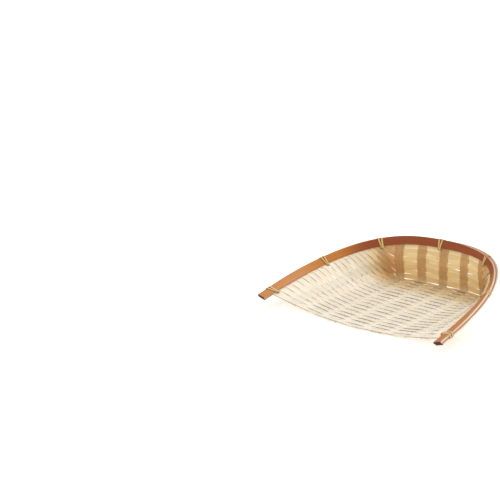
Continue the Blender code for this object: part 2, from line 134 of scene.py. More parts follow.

# Painted shade on the front edges of the crosswise strips, which shows as dark dashes: the shadow in front of
# each raised float, dashes at the sides, and a painted shadow line along the lip
EDGE_SHADE_FROM_LEVEL, EDGE_SHADE_FADE = 0.4, 0.4  # share of the full rise where the painted shade on the front edge begins, and its fade
EDGE_SHADE_LEAST = 0.5  # share of painted edge shade on the least shaded strip
SIDE_EDGE_SHADE_SHARE, LIP_EDGE_SHADE_SHARE = 0.75, 0.7
SIDE_DASH = 27.0 * MM  # between the places at the sides where the painted edge shade shows
DASH_STRAY = 0.1  # of that distance, how far one may lie off
DASH_SLOPE, DASH_START = 2.0, 0.2  # how sharply a dash begins, and how late

# Lashings
TIE_1_V, TIE_2_V, TIE_6_V = 1 * PITCH, 20 * PITCH, 21 * PITCH  # between two crosswise strips
TIE_3_HALF, TIE_4_HALF, TIE_5_HALF = 72.0 * MM, 5.5 * MM, 62.0 * MM  # left, left and right of the middle
TIE_HOLES = ((TIE_1_V, -1.0), (TIE_2_V, -1.0), (TIE_6_V, 1.0), (TIE_1_V, 1.0))
TIE_HOLE_FADE = 7.0 * MM  # along the rim, over which the parted strips close again
TIE_HOLE_SHARPNESS = 4  # how soon they close away from the rim
TIE_FOOT_HALF = 0.6 * MM  # half of what the drawn-together strand takes between them
STRAND_CORNER = 0.9 * MM
STRAND_CORNER_STOPS = 7
LASHING_EASE = 0.05 * MM  # between a strand and the hoops
STRAND_STACK = 0.5 * MM  # how far the second turn lies over the first under the rim
LASHING_LEANS = (-3.0 * MM, -3.5 * MM, -1.5 * MM, 0.0, -1.0 * MM, 3.5 * MM, 3.0 * MM)  # first to seventh

# Painted light and shade: the glow and shade of the back wall and its corners, and the light on the hoops'
# arms
YELLOW_FROM, YELLOW_RUN, YELLOW_RISE = 34.0 * MM, 50.0 * MM, 12.0 * MM  # its start, depth and height
FLOOR_YELLOW_SHARE = 0.58  # of the wall's yellow, as painted shade on the floor in front of it
BETWEEN_YELLOW_SHARE = 0.5  # of the painted yellow where no lengthwise strip lies behind
CROSSING_FADE = 2.0 * MM
CORNER_FROM, CORNER_RUN = 50.0 * MM, 14.0 * MM  # painted shade in the back corners, sideways
CORNER_BACK, CORNER_BACK_RUN = 50.0 * MM, 25.0 * MM  # and backward
CORNER_DEEP_SHARE, CORNER_DEEP_RISE, CORNER_DEEP_UNTIL = 0.2, 7.0 * MM, 45.0 * MM  # between two heights
PAINTED_TIP_FROM_SHARE, PAINTED_TIP_RUN_SHARE = 0.34, 0.20  # of a hoop's half length, where painted light turns it paler orange towards the tips, and painted shade turns the thin strip brown
RIGHT_PAINTED_TIP_SHARE = 0.72  # of that on the right arm, which lies more in shade

# Bamboo's surface. The first two patterns are drawn coarser than real fibres, or they wouldn't show
FIBRE_SIZE, FIBRE_DETAIL, FIBRE_CONTRAST = (30.0 * MM, 0.35 * MM), 3.0, 0.9  # length and width
STREAK_SIZE, STREAK_DETAIL, STREAK_CONTRAST = (90.0 * MM, 1.3 * MM), 2.0, 1.6
CLOUD_SIZE, CLOUD_DETAIL, CLOUD_CONTRAST = (28.0 * MM, 9.0 * MM), 1.0, 0.35
STRIP_SPREAD = 3.7  # keeps the noise of one strip apart from the next
RING_SPACING = 310.0 * MM  # between rings of the culm
RING_HALF_WIDTH = 1.3 * MM
RING_SHIFT, RING_STRENGTH, RING_RELIEF = 7.31, 0.6, 2.0
FIBRE_RELIEF, RELIEF_STRENGTH = 0.08 * MM, 0.6
WOOD_IOR = 1.5
SHEEN = 0.35  # less than the 0.5 that the IOR alone gives, as dry wood is porous
ROUGHNESS_CHANGE = 0.25  # from fibre to fibre
EDGE_COLOUR_SHARPNESS = 90.0  # of the line where a side's own colour begins: painted shade, or raw wood on the hoops
GLOW_RADII = (1.0, 0.78, 0.5)  # how far red, green and blue light pass through thin pale wood
GLOW_DEPTH = 1.6 * MM
SHARP_ANGLE = math.radians(50)
SEED_MOST = 90.0
HOOP_SEED, RIM_STRIP_SEED, LASHING_SEED = 3.0, 11.0, 20.0

# Sections: roundness is 1 for an oval and near 0 for a sharp-edged strip, crown is the arch of its face
STRIP_DEFAULTS = {"Crown": 0.0, "Waviness": 0.0, "Wave Length": 20.0 * MM, "Tone": 0.5}
WEFT_SECTION = {"corner_roundness": 0.22, "section_points": 16, "crown": 0.05 * MM, "wave_length": 38.0 * MM}
WARP_SECTION = {"corner_roundness": 0.2, "section_points": 20, "crown": 0.06 * MM, "wave_length": 60.0 * MM,
                "waviness": 0.3 * MM}
HOOP_SECTION = {"corner_roundness": 0.14, "section_points": 28}
RIM_STRIP_SECTION = {"corner_roundness": 0.5, "section_points": 14}
STRAND_SECTION = {"corner_roundness": 0.35, "section_points": 12}

# Colours, as the two ends of a tone
# The yellow and tan pairs are painted light and shade: the glow of light through the back wall, the shade
# where two layers cross and on the floor before the wall, and the deeper shade in the corners
WEFT_PAINTED_YELLOW, WARP_PAINTED_YELLOW = ("#E9D6AE", "#D2B988"), ("#E3CCA0", "#D2B584")
WEFT_PAINTED_TAN, WARP_PAINTED_TAN = ("#CEA673", "#B98D5A"), ("#CFA46E", "#B98954")
PAINTED_CORNER_TAN = ("#B88045", "#9E6A36")
RAW_WOOD = ("#EBD3B8", "#B98A66")
CUT_END = "#34130C"

# Stage
FLOOR_RADIUS, FLOOR_BEND, FLOOR_SIDES, FLOOR_RINGS, FLOOR_BEND_STOPS = 2.6, 1.4, 96, 12, 16
FLOOR_ROUGHNESS, FLOOR_SHEEN = 0.9, 0.2
KEY_PLACE, KEY_SIZE = (0.2, 0.75, 1.15), 1.2
FILL_PLACE, FILL_SIZE = (0.4, -1.3, 1.1), 1.4
CAMERA_TURN, CAMERA_FALL = 0.7033, 0.2746  # radians, from straight behind the open front and down
CAMERA_ABOUT_Y = 80.0 * MM  # a point of the floor's middle line, from the tips' line back
CAMERA_OFFSET = (148.18 * MM, -67.62 * MM, 1195.66 * MM)  # of that point from the camera: right, up, ahead
CAMERA_LENS_MM, CAMERA_SENSOR_MM = 79.39, 36.0
CAMERA_CLIP = (10.0 * MM, 20.0)


def linear(code):
    """The linear colour of an sRGB hex code."""
    parts = [int(code[i:i + 2], 16) / 255 for i in (1, 3, 5)]
    return tuple(p / 12.92 if p <= 0.04045 else ((p + 0.055) / 1.055) ** 2.4 for p in parts)


# The woven surface

def ease(share):
    """A soft step from 0 to 1."""
    share = np.clip(share, 0.0, 1.0)
    return share * share * (3.0 - 2.0 * share)


def mix(a, b, share):
    """The value at a share of the way from a to b."""
    return a + (b - a) * share


def unit(vectors):
    return vectors / np.linalg.norm(vectors, axis=-1, keepdims=True)


def xyz(*parts):
    return np.stack(np.broadcast_arrays(*parts), axis=-1).astype(float)


def running_length(points):
    """The length of a line of points up to each of them."""
    return np.concatenate([[0.0], np.cumsum(np.linalg.norm(np.diff(points, axis=0), axis=1))])


RIM_ANGLES = np.linspace(0.0, np.pi / 2, RIM_SAMPLES)
RIM_X = RIM_HALF_WIDTH * np.sin(RIM_ANGLES) ** (2 / RIM_SQUARENESS)
RIM_Y = RIM_LENGTH * np.clip(np.cos(RIM_ANGLES), 0.0, 1.0) ** (2 / RIM_SQUARENESS)
RIM_Z = mix(TIP_HEIGHT, BACK_HEIGHT, RIM_Y / RIM_LENGTH)
RIM_D = running_length(xyz(RIM_X, RIM_Y, RIM_Z))
RIM_HALF_ARC = RIM_D[-1]


def rim_point(d):
    """A point of the rim by its distance d from the middle of the back, positive to the right."""
    side = np.abs(d)
    x = np.sign(d) * np.interp(side, RIM_D, RIM_X)
    return xyz(x, np.interp(side, RIM_D, RIM_Y) - CENTRE_Y, np.interp(side, RIM_D, RIM_Z))


def rim_frame(d):
    """The ways along the rim, across the hoops and into the basket."""
    d = np.asarray(d, float)
    ahead = np.clip(d + FINE, -RIM_HALF_ARC, RIM_HALF_ARC)
    behind = np.clip(d - FINE, -RIM_HALF_ARC, RIM_HALF_ARC)
    tangent = unit(rim_point(ahead) - rim_point(behind))
    outward = unit(xyz(-tangent[..., 1], tangent[..., 0], 0.0 * d))
    run_share = np.where(d > 0.0, TILT_RUN_RIGHT_SHARE, TILT_RUN_LEFT_SHARE)
    run = ease((1.0 - np.abs(d) / RIM_HALF_ARC) / run_share)
    tilt = mix(TIP_TILT, BACK_TILT, run)[..., None]
    across = outward * np.cos(tilt) + np.array([0.0, 0.0, 1.0]) * np.sin(tilt)
    across = unit(across - tangent * np.sum(across * tangent, axis=-1, keepdims=True))
    return tangent, across, np.cross(tangent, across)


def band(d, c, n):
    """A point of the rim's section at a distance along the rim."""
    d, c, n = np.broadcast_arrays(np.asarray(d, float), c, n)
    across, inward = rim_frame(d)[1:]
    return rim_point(d) + across * c[..., None] + inward * n[..., None]


def rim_distance_at(x):
    """How far along the rim from the middle of the back a place x to the side is."""
    return np.interp(np.abs(x), RIM_X, RIM_D) * np.sign(x)


def floor_point(x, v):
    """A point of the level floor, which rises a little over the folds at the lip."""
    bow = mix(-LIP_BOW, CREASE_BOW, v / FLOOR_LENGTH)
    height = SURFACE_HEIGHT + LIP_RISE * ease(1.0 - (v - TAIL_LENGTH) / TAIL_RUNOUT)
    return xyz(x, LIP_SETBACK + v - bow * (x / BOW_AT) ** 2 - CENTRE_Y, height)


WALL_HEIGHT = np.linalg.norm(band(0.0, ENTRY_C, 0.0) - floor_point(0.0, FLOOR_LENGTH))
ROWS_LENGTH = FLOOR_LENGTH + WALL_HEIGHT
LAST_ROW_END = rim_distance_at(WALL_CORNER_HALF) + LAST_ROW_PAST_CORNER
FIRST_ROW_END = RIM_HALF_ARC - FIRST_ROW_FROM_TIP


def wall_point(x, w):
    """A point of the back wall, w above the crease. Past its top it runs on between the hoops."""
    d = rim_distance_at(x)
    if w > WALL_HEIGHT:
        return band(d, ENTRY_C + w - WALL_HEIGHT, 0.0)
    foot, head = floor_point(x, FLOOR_LENGTH), band(d, ENTRY_C, 0.0)
    share = max(w, 0.0) / WALL_HEIGHT
    rise = (head - foot)[..., 2:]
    leave, arrive = rise * unit((head - foot) / rise), rise * rim_frame(d)[1]
    return (foot * (1 + 2 * share) * (1 - share) ** 2 + head * share * share * (3 - 2 * share)
            + leave * share * (1 - share) ** 2 - arrive * share * share * (1 - share))


def row_end_distance(v):
    """Where a row meets the rim. Rows crowd together there towards the back."""
    squeeze = 1.0 - (FIRST_ROW_END - LAST_ROW_END) / ROWS_LENGTH
    v = np.minimum(v, ROWS_LENGTH)
    return FIRST_ROW_END - v * (1.0 - squeeze * v / ROWS_LENGTH)


def floor_half_width(v):
    """Half the width that is level, before the sides turn up."""
    share = v / FLOOR_LENGTH
    front = mix(FLOOR_HALF_FRONT, FLOOR_HALF_MIDDLE, ease(2.0 * share))
    return mix(front, FLOOR_HALF_BACK, ease(2.0 * share - 1.0))


def bezier(a, b, c, d):
    """A cubic curve without its first point."""
    t = np.linspace(0.0, 1.0, CURVE_SAMPLES)[1:, None]
    return a * (1 - t) ** 3 + 3 * b * t * (1 - t) ** 2 + 3 * c * t * t * (1 - t) + d * t ** 3


def row_path(v):
    """The right half of one row: straight, bent up at the side or round the corner, into the rim."""
    if v <= FLOOR_LENGTH:
        corner_x = floor_half_width(v)
        tighten = ease((v / FLOOR_LENGTH - BEND_FROM_SHARE) / (1.0 - BEND_FROM_SHARE))
        bend, base, level = mix(SIDE_BEND, CORNER_BEND, tighten), floor_point, v
    else:
        corner_x = mix(FLOOR_HALF_BACK, WALL_CORNER_HALF, min((v - FLOOR_LENGTH) / WALL_HEIGHT, 1.0))
        bend, base, level = CORNER_BEND, wall_point, v - FLOOR_LENGTH
    straight = base(np.linspace(0.0, corner_x - bend, CURVE_SAMPLES), level)
    corner = base(np.array([corner_x]), level)[0]
    d = row_end_distance(v)
    start_c = ENTRY_C + min(max(v - ROWS_LENGTH, 0.0), RAISED_MOST)
    entry = band(d, start_c, 0.0)
    tangent, across = rim_frame(d)[:2]
    chord = entry - corner
    slant = np.dot(chord, tangent) / max(np.dot(chord, across), abs(np.dot(chord, tangent)))
    arrive = unit(across + tangent * slant)
    curve = bezier(straight[-1], corner, entry - arrive * np.linalg.norm(chord) / 3, entry)
    c = np.linspace(start_c, END_C, CURVE_SAMPLES)[1:]
    return np.vstack([straight, curve, band(d + slant * (c - start_c), c, 0.0)])


LAST_V = ROWS_LENGTH + END_C - ENTRY_C
GRID_V = np.arange(-SAMPLES_BEYOND, LAST_V / FINE + SAMPLES_BEYOND) * FINE
GRID_A = np.arange(0.0, RIM_HALF_WIDTH * REACH_SHARE, FINE * 2)


def measure_rows():
    """Every row by the distance a along it from the middle line, with its whole length."""
    grid = np.zeros((len(GRID_V), len(GRID_A), 3))
    ends = np.zeros(len(GRID_V))
    for i, v in enumerate(GRID_V):
        path = row_path(v)
        run = running_length(path)
        ends[i] = run[-1]
        for axis in range(3):
            grid[i, :, axis] = np.interp(GRID_A, run, path[:, axis])
    return grid, ends


GRID, ROW_ENDS = measure_rows()


def row_end(v):
    """The length of a row from the middle line to where it is cut off."""
    return np.interp(v, GRID_V, ROW_ENDS)


def plain_surface(a, v):
    """A point of the woven surface, a across from the middle line and v along it."""
    a, v = np.broadcast_arrays(np.asarray(a, float), np.asarray(v, float))
    row = np.clip((v - GRID_V[0]) / FINE, 0.0, len(GRID_V) - LAST_CELL)
    column = np.clip(np.abs(a) / (2 * FINE), 0.0, len(GRID_A) - LAST_CELL)
    i, j = row.astype(int), column.astype(int)
    p, q = (row - i)[..., None], (column - j)[..., None]
    point = mix(mix(GRID[i, j], GRID[i, j + 1], q), mix(GRID[i + 1, j], GRID[i + 1, j + 1], q), p)
    point[..., 0] *= np.where(a < 0, -1.0, 1.0)
    return point


def surface(a, v):
    """The woven surface with its crease rounded."""
    a, v = np.broadcast_arrays(np.asarray(a, float), np.asarray(v, float))
    t = np.clip((v - FLOOR_LENGTH) / CREASE_ROUNDING * 0.5 + 0.5, 0.0, 1.0)[..., None]
    before = plain_surface(a, FLOOR_LENGTH - CREASE_ROUNDING)
    after = plain_surface(a, FLOOR_LENGTH + CREASE_ROUNDING)
    rounded = before * (1 - t) ** 2 + plain_surface(a, FLOOR_LENGTH) * 2 * t * (1 - t) + after * t * t
    return np.where((t > 0.0) & (t < 1.0), rounded, plain_surface(a, v))


def woven_point(a, v):
    """A point of the surface with the way square to it, into the basket."""
    a, v = np.broadcast_arrays(np.asarray(a, float), np.asarray(v, float))
    step = 2 * FINE
    limit = row_end(v) - step
    held = np.clip(a, -limit, limit)
    across = unit(surface(held + step, v) - surface(held - step, v))
    onward = unit(surface(held, v + step) - surface(held, v - step))
    return surface(a, v), unit(np.cross(across, onward))


# Rails: the middle line of a strip, with the ways to its side and out of its face at each point

RAIL_VECTORS = ("place", "side", "up")
RAIL_VALUES = ("half_width", "run", "free", "shade", "edge_shade_and_raw", "dark_end")


def rail(points, side, up, half_width, free=1.0, shade=0.0, edge_shade_and_raw=1.0):
    """One rail, with its running length. free is 1 where the strip may stray and 0 where it is held.

    shade counts the steps of painted light and shade from one pair of tones to the next. The last argument is
    the share of a strip's edge colour that shows: painted shade on the crosswise strips and the strands, raw
    wood on the hoops.
    """
    line = {"place": points, "side": side, "up": up, "run": running_length(points), "half_width": half_width,
            "free": free, "shade": shade, "edge_shade_and_raw": edge_shade_and_raw, "dark_end": 0.0}
    return {key: value if key in RAIL_VECTORS else np.full(len(points), value) for key, value in line.items()}


def stations(start, stop, step):
    """Even places from start to stop, about a step apart."""
    return np.linspace(start, stop, max(2, int(round(abs(stop - start) / step)) + 1))


def painted_backlit_shade(points, crossing=1.0):
    """Painted light and shade towards the back, in steps: 0 pale, 1 yellow for the glow through the back wall
    and the shade on the floor before it, 2 tan for the shade where two layers cross on the wall, and past 2
    for the shade in the corners.
    """
    x, y, z = points.T
    back = ease((y - YELLOW_FROM) / YELLOW_RUN)
    corner = ease((np.abs(x) - CORNER_FROM) / CORNER_RUN) * ease((y - CORNER_BACK) / CORNER_BACK_RUN)
    wall = mix(BETWEEN_YELLOW_SHARE, 1.0, np.maximum(crossing, corner))
    deep = CORNER_DEEP_SHARE * corner * ease(z / CORNER_DEEP_RISE) * (1.0 - ease(z / CORNER_DEEP_UNTIL))
    return 2.0 * back * mix(FLOOR_YELLOW_SHARE, wall, ease(z / YELLOW_RISE)) + deep


def weft_limits(k, gap, wall_gap, crease_gap):
    """The front and back edge of a crosswise strip on the middle line."""
    if k < FLOOR_WEFTS:
        front, back = k * PITCH + gap / 2, (k + 1) * PITCH - gap / 2
        if k == 0:
            front -= LIP_OVERHANG
        if k == FLOOR_WEFTS - 1:
            front, back = front + gap / 2, FLOOR_LENGTH - crease_gap / 2
        return front, back
    pitch = (WALL_HEIGHT - CREASE_MARGIN) / WALL_WEFTS
    start = FLOOR_LENGTH + CREASE_MARGIN + (k - FLOOR_WEFTS) * pitch
    front, back = start + wall_gap / 2, start + pitch - wall_gap / 2
    if k == FLOOR_WEFTS:
        front = FLOOR_LENGTH + crease_gap / 2
    return front, back


def parted(v, a, near_rim, gap):
    """Moves an edge away from the lashings between crosswise strips, near the rim, so that they pass."""
    for tie_v, side in TIE_HOLES:
        crowd = -(row_end_distance(tie_v + FINE) - row_end_distance(tie_v)) / FINE
        push = TIE_FOOT_HALF / crowd - gap / 2
        fade = np.exp(-(((v - tie_v) * crowd / TIE_HOLE_FADE) ** 2)) * near_rim ** TIE_HOLE_SHARPNESS
        fade = fade * (np.sign(a) == side)
        v = v + np.where(v > tie_v, push, -push) * fade
    return v


def weft_level(k, a):
    """Height off the woven surface in rises: over one lengthwise strip and under the next."""
    column = np.minimum(np.round(np.abs(a) / WARP_PITCH), WARPS_EACH_SIDE)
    sign = np.where((k + WARPS_EACH_SIDE + column) % 2 == 0, 1.0, -1.0)
    past = np.abs(a) - column * WARP_PITCH
    share = np.clip((np.abs(past) - WARP_WIDTH / 2) / (WARP_PITCH - WARP_WIDTH) * 2, 0.0, 1.0)
    settled = mix(1.0, SIDE_RISE_SHARE, ease((past - WARP_WIDTH / 2) / SIDE_SETTLE))
    return sign * np.where((column == WARPS_EACH_SIDE) & (past > 0.0), settled, np.cos(share * np.pi / 2))


def weft_swell(k, a, near_rim, width_change, rng):
    """How many times its even width a hand-split crosswise strip measures along its length."""
    change = rng.uniform(-1.0, 1.0, SWELL_STOPS)
    swell = width_change * np.interp(a, np.linspace(a[0], a[-1], SWELL_STOPS), change)
    swell = 1.0 + swell * (1.0 - near_rim) + SIDE_SPREAD * ease((np.abs(a) - SIDE_FROM) / SIDE_SETTLE)
    last_rows = ease((k - CORNER_ROWS_FROM) / CORNER_ROWS) * (k < FLOOR_WEFTS)
    return swell + CORNER_SPREAD * last_rows * ease((np.abs(a) - CORNER_FROM) / CORNER_RUN)


def weft_painted_edge_shade(k, a, rng):
    """Where painted shade darkens the front edge of a crosswise strip: the shadow in front of each raised
    float, dashes at the sides, and a shadow line along the lip.
    """
    edge_shade_and_raw = ease((weft_level(k, a) - EDGE_SHADE_FROM_LEVEL) / EDGE_SHADE_FADE) * (k < FLOOR_WEFTS)
    turns = a / SIDE_DASH + k / 2 + rng.uniform(-DASH_STRAY, DASH_STRAY)
    dashes = ease(np.sin(math.tau * turns) * DASH_SLOPE - DASH_START)
    edge_shade_and_raw = mix(edge_shade_and_raw, SIDE_EDGE_SHADE_SHARE * dashes, ease((np.abs(a) - SIDE_FROM) / SIDE_SETTLE))
    edge_shade_and_raw = edge_shade_and_raw * rng.uniform(EDGE_SHADE_LEAST, 1.0)
    return LIP_EDGE_SHADE_SHARE if k == 0 else edge_shade_and_raw


def weft_rail(k, weave, rng):
    """A crosswise strip, from between the hoops on the left to between them on the right."""
    limits = weft_limits(k, weave.weft_gap, weave.wall_gap, weave.crease_gap)
    end = row_end(sum(limits) / 2)
    free_end = end - (END_C - ENTRY_C) - RIM_APPROACH
    a = stations(-end, end, weave.step)
    near_rim = np.clip((np.abs(a) - free_end) / RIM_APPROACH, 0.0, 1.0)
    rise = (weave.warp_thickness + weave.weft_thickness) / 2
    rise *= LIP_RISE_SHARE if k == 0 else WALL_RISE_SHARE if k >= FLOOR_WEFTS else 1.0
    lift = WALL_LIFT * max(k + 1 - FLOOR_WEFTS, 0) / WALL_WEFTS
    edges = []
    for v in limits:
        v = parted(v, a, near_rim, weave.weft_gap) + lift
        beyond = (row_end(v) - free_end) * (np.abs(a) - free_end) / (end - free_end)
        across = np.where(np.abs(a) > free_end, free_end + beyond, np.abs(a))
        point, normal = woven_point(np.sign(a) * across, v)
        edges.append(point + normal * (weft_level(k, a) * rise)[:, None])
    span = edges[1] - edges[0]
    half = np.linalg.norm(span, axis=1) / 2
    side = span / (2 * half)[:, None]
    centre = (edges[0] + edges[1]) / 2
    up = unit(np.cross(np.gradient(centre, axis=0), side))
    swell = weft_swell(k, a, near_rim, weave.width_change, rng)
    # Painted shade: on the back wall a strip is painted tan where it crosses a lengthwise strip, for the two
    # layers that the light from behind passes through
    off_warp = np.abs(a - np.clip(np.round(a / WARP_PITCH), -WARPS_EACH_SIDE, WARPS_EACH_SIDE) * WARP_PITCH)
    crossing = ease((WARP_WIDTH / 2 - off_warp) / CROSSING_FADE + 0.5)
    edge_shade_and_raw = weft_painted_edge_shade(k, a, rng)
    return rail(centre, side, up, half * swell, 1.0 - near_rim, painted_backlit_shade(centre, crossing), edge_shade_and_raw)


def warp_rail(index, weave, rng):
    """A lengthwise strip: folded under at the lip, along the floor, up the wall, into the rim."""
    place = (index - WARPS_EACH_SIDE) * WARP_PITCH
    tops = np.linspace(FLOOR_LENGTH, LAST_V, TOP_STOPS)
    last = tops[row_end(tops) > abs(place) - WARP_WIDTH / 2 + WARP_END_WIDTH][-1]
    drop = weave.warp_thickness + weave.weft_thickness + weave.fold_slack
    angles = np.linspace(-np.pi / 2, -np.pi * 3 / 2, FOLD_STOPS)
    tail, course = stations(TAIL_LENGTH, weave.step, weave.step), stations(weave.step, last, weave.step)
    v = np.concatenate([tail, np.cos(angles) * drop / 2, course])
    n = np.concatenate([np.full(len(tail), -drop), (np.sin(angles) - 1.0) * drop / 2, np.zeros(len(course))])
    stray = np.interp(v, np.linspace(0.0, last, SWELL_STOPS), rng.uniform(-1.0, 1.0, SWELL_STOPS))
    a = place + stray * weave.warp_stray * np.clip(v / TAIL_LENGTH, 0.0, 1.0)
    edges = []
    for side in (-1.0, 1.0):
        point, normal = woven_point(np.clip(a + side * WARP_WIDTH / 2, -row_end(v), row_end(v)), v)
        edges.append(point + normal * n[:, None])
    span = edges[1] - edges[0]
    centre = (edges[0] + edges[1]) / 2
    heading = unit(np.gradient(centre, axis=0))
    side = unit(span - heading * np.sum(span * heading, axis=1)[:, None])
    free = np.clip((v - TAIL_LENGTH) / TAIL_LENGTH, 0.0, 1.0)
    # The back wall's painted glow and shade colour the lengthwise strips too
    return rail(centre, side, np.cross(side, heading), np.linalg.norm(span, axis=1) / 2, free, painted_backlit_shade(centre))


def leanness(d):
    """The share of a hoop's width that is missing along its top edge."""
    return LEAN_SHARE * ease((d - LEAN_FROM) / LEAN_RUN_IN) * ease((LEAN_UNTIL - d) / LEAN_RUN_OUT)


def rim_rail(reach, c, n, half_width, step, lean=False):
    """A piece that runs along the rim from tip to tip, a little narrower and dark at its cut ends."""
    d = stations(-reach, reach, step)
    d = np.concatenate([d[:1], d[:1] + END_DARK_DEPTH, d[1:-1], d[-1:] - END_DARK_DEPTH, d[-1:]])
    across, inward = rim_frame(d)[1:]
    # Painted light: towards the tips a hoop turns paler orange where the arms face up to the light, less on
    # the right arm, which lies more in shade; the thin strip turns brown there with painted shade under the
    # outer hoop
    painted_tip_shading = ease((np.abs(d) / reach - PAINTED_TIP_FROM_SHARE) / PAINTED_TIP_RUN_SHARE)
    painted_tip_shading = painted_tip_shading * np.where(d > 0.0, RIGHT_PAINTED_TIP_SHARE, 1.0)
    missing = leanness(d) if lean else 0.0 * d
    narrow = 1.0 - TIP_TAPER_SHARE * ease((np.abs(d) - reach + TIP_TAPER) / TIP_TAPER) - missing
    line = rail(band(d, c - half_width * missing, n), across, inward, half_width * narrow, shade=painted_tip_shading)
    line["dark_end"] = (np.abs(d) > reach - END_DARK_DEPTH / 2).astype(float)
    return line


def loop_outline(low, high, half, corner):
    """One turn round the hoops in the rim's section, from below, up the inside, over and down."""
    outline = []
    corners = ((low, half, np.pi), (high, half, np.pi / 2), (high, -half, 0.0), (low, -half, -np.pi / 2))
    for c, n, first in corners:
        angles = np.linspace(first, first - np.pi / 2, STRAND_CORNER_STOPS)
        outline.append(np.column_stack([c - np.sign(c) * corner + np.cos(angles) * corner,
                                        n - np.sign(n) * corner + np.sin(angles) * corner]))
    outline = np.vstack(outline + [outline[0][:1]])
    return outline, running_length(outline)


def lashing_rail(d, slant, lash):
    """A flat strand wound round both hoops, spread over the top edge and drawn together below."""
    skin = lash.strand_thickness / 2 + LASHING_EASE
    low, high = RIM_STRIP_C - RIM_STRIP_ROOM / 2 - skin, HOOP_WIDTH / 2 + skin
    half = (INNER_HOOP_N[1] - OUTER_HOOP_N[1]) / 2
    outline, run = loop_outline(low, high, half + skin, STRAND_CORNER)
    turns = lash.turns
    t = stations(0.0, turns * run[-1], lash.step) / run[-1]
    s = (t % 1.0) * run[-1]
    c, n = np.interp(s, run, outline[:, 0]), np.interp(s, run, outline[:, 1])
    height = (c - low) / (high - low)
    lead = lash.strand_width + mix(lash.gap_low, lash.gap_high, height)
    stack = STRAND_STACK * ease(t / turns) * (1.0 - height)
    place = d + (t - turns / 2) * lead + slant * (height - 0.5)
    points = band(place, c - stack, n + np.sign(n) * stack + OUTER_HOOP_N[1] + half)
    tangent = rim_frame(place)[0]
    heading = unit(np.gradient(points, axis=0))
    side = unit(tangent - heading * np.sum(tangent * heading, axis=1)[:, None])
    return rail(points, side, np.cross(side, heading), lash.strand_width / 2)


def lashing_places():
    """Where each lashing is along the rim, with how far its strand leans there."""
    tip, left, right = (row_end_distance(v) for v in (TIE_1_V, TIE_2_V, TIE_6_V))
    third, fourth, fifth = (rim_distance_at(x) for x in (-TIE_3_HALF, -TIE_4_HALF, TIE_5_HALF))
    feet = (-tip, -left, third, fourth, fifth, right, tip)
    return [(foot + lean / 2, lean) for foot, lean in zip(feet, LASHING_LEANS)]


# Node trees

VECTOR_MATH, MIX = "ShaderNodeVectorMath", "ShaderNodeMix"
FIRST_COLOUR, SECOND_COLOUR, MIXED_COLOUR = 6, 7, 2  # sockets of a mix node, which share their names
STRIP_TREE = "Bamboo Strip Along Rail"
STRIP_INPUTS = {"Geometry": "Geometry", "Thickness": "Float", "Corner Roundness": "Float",
                "Section Points": "Int", "Crown": "Float", "Waviness": "Float", "Wave Length": "Float",
                "Seed": "Float", "Tone": "Float", "Material": "Material"}


def add(tree, kind, inputs=(), **settings):
    """Adds a node by its kind, or by a math node's operation, with its settings and inputs.

    The inputs come in order, or by name in a dict. Each is a value, a colour's hex code, a socket, or a
    node, whose first output is meant.
    """
    node = tree.nodes.new("ShaderNodeMath" if kind.isupper() else kind)
    if kind.isupper():
        node.operation = kind
    for key, value in settings.items():
        setattr(node, key, value)
    for key, value in (inputs if isinstance(inputs, dict) else dict(enumerate(inputs))).items():
        if isinstance(value, bpy.types.Node):
            value = value.outputs[0]
        if isinstance(value, bpy.types.NodeSocket):
            tree.links.new(value, node.inputs[key])
        else:
            node.inputs[key].default_value = (*linear(value), 1.0) if str(value).startswith("#") else value
    return node


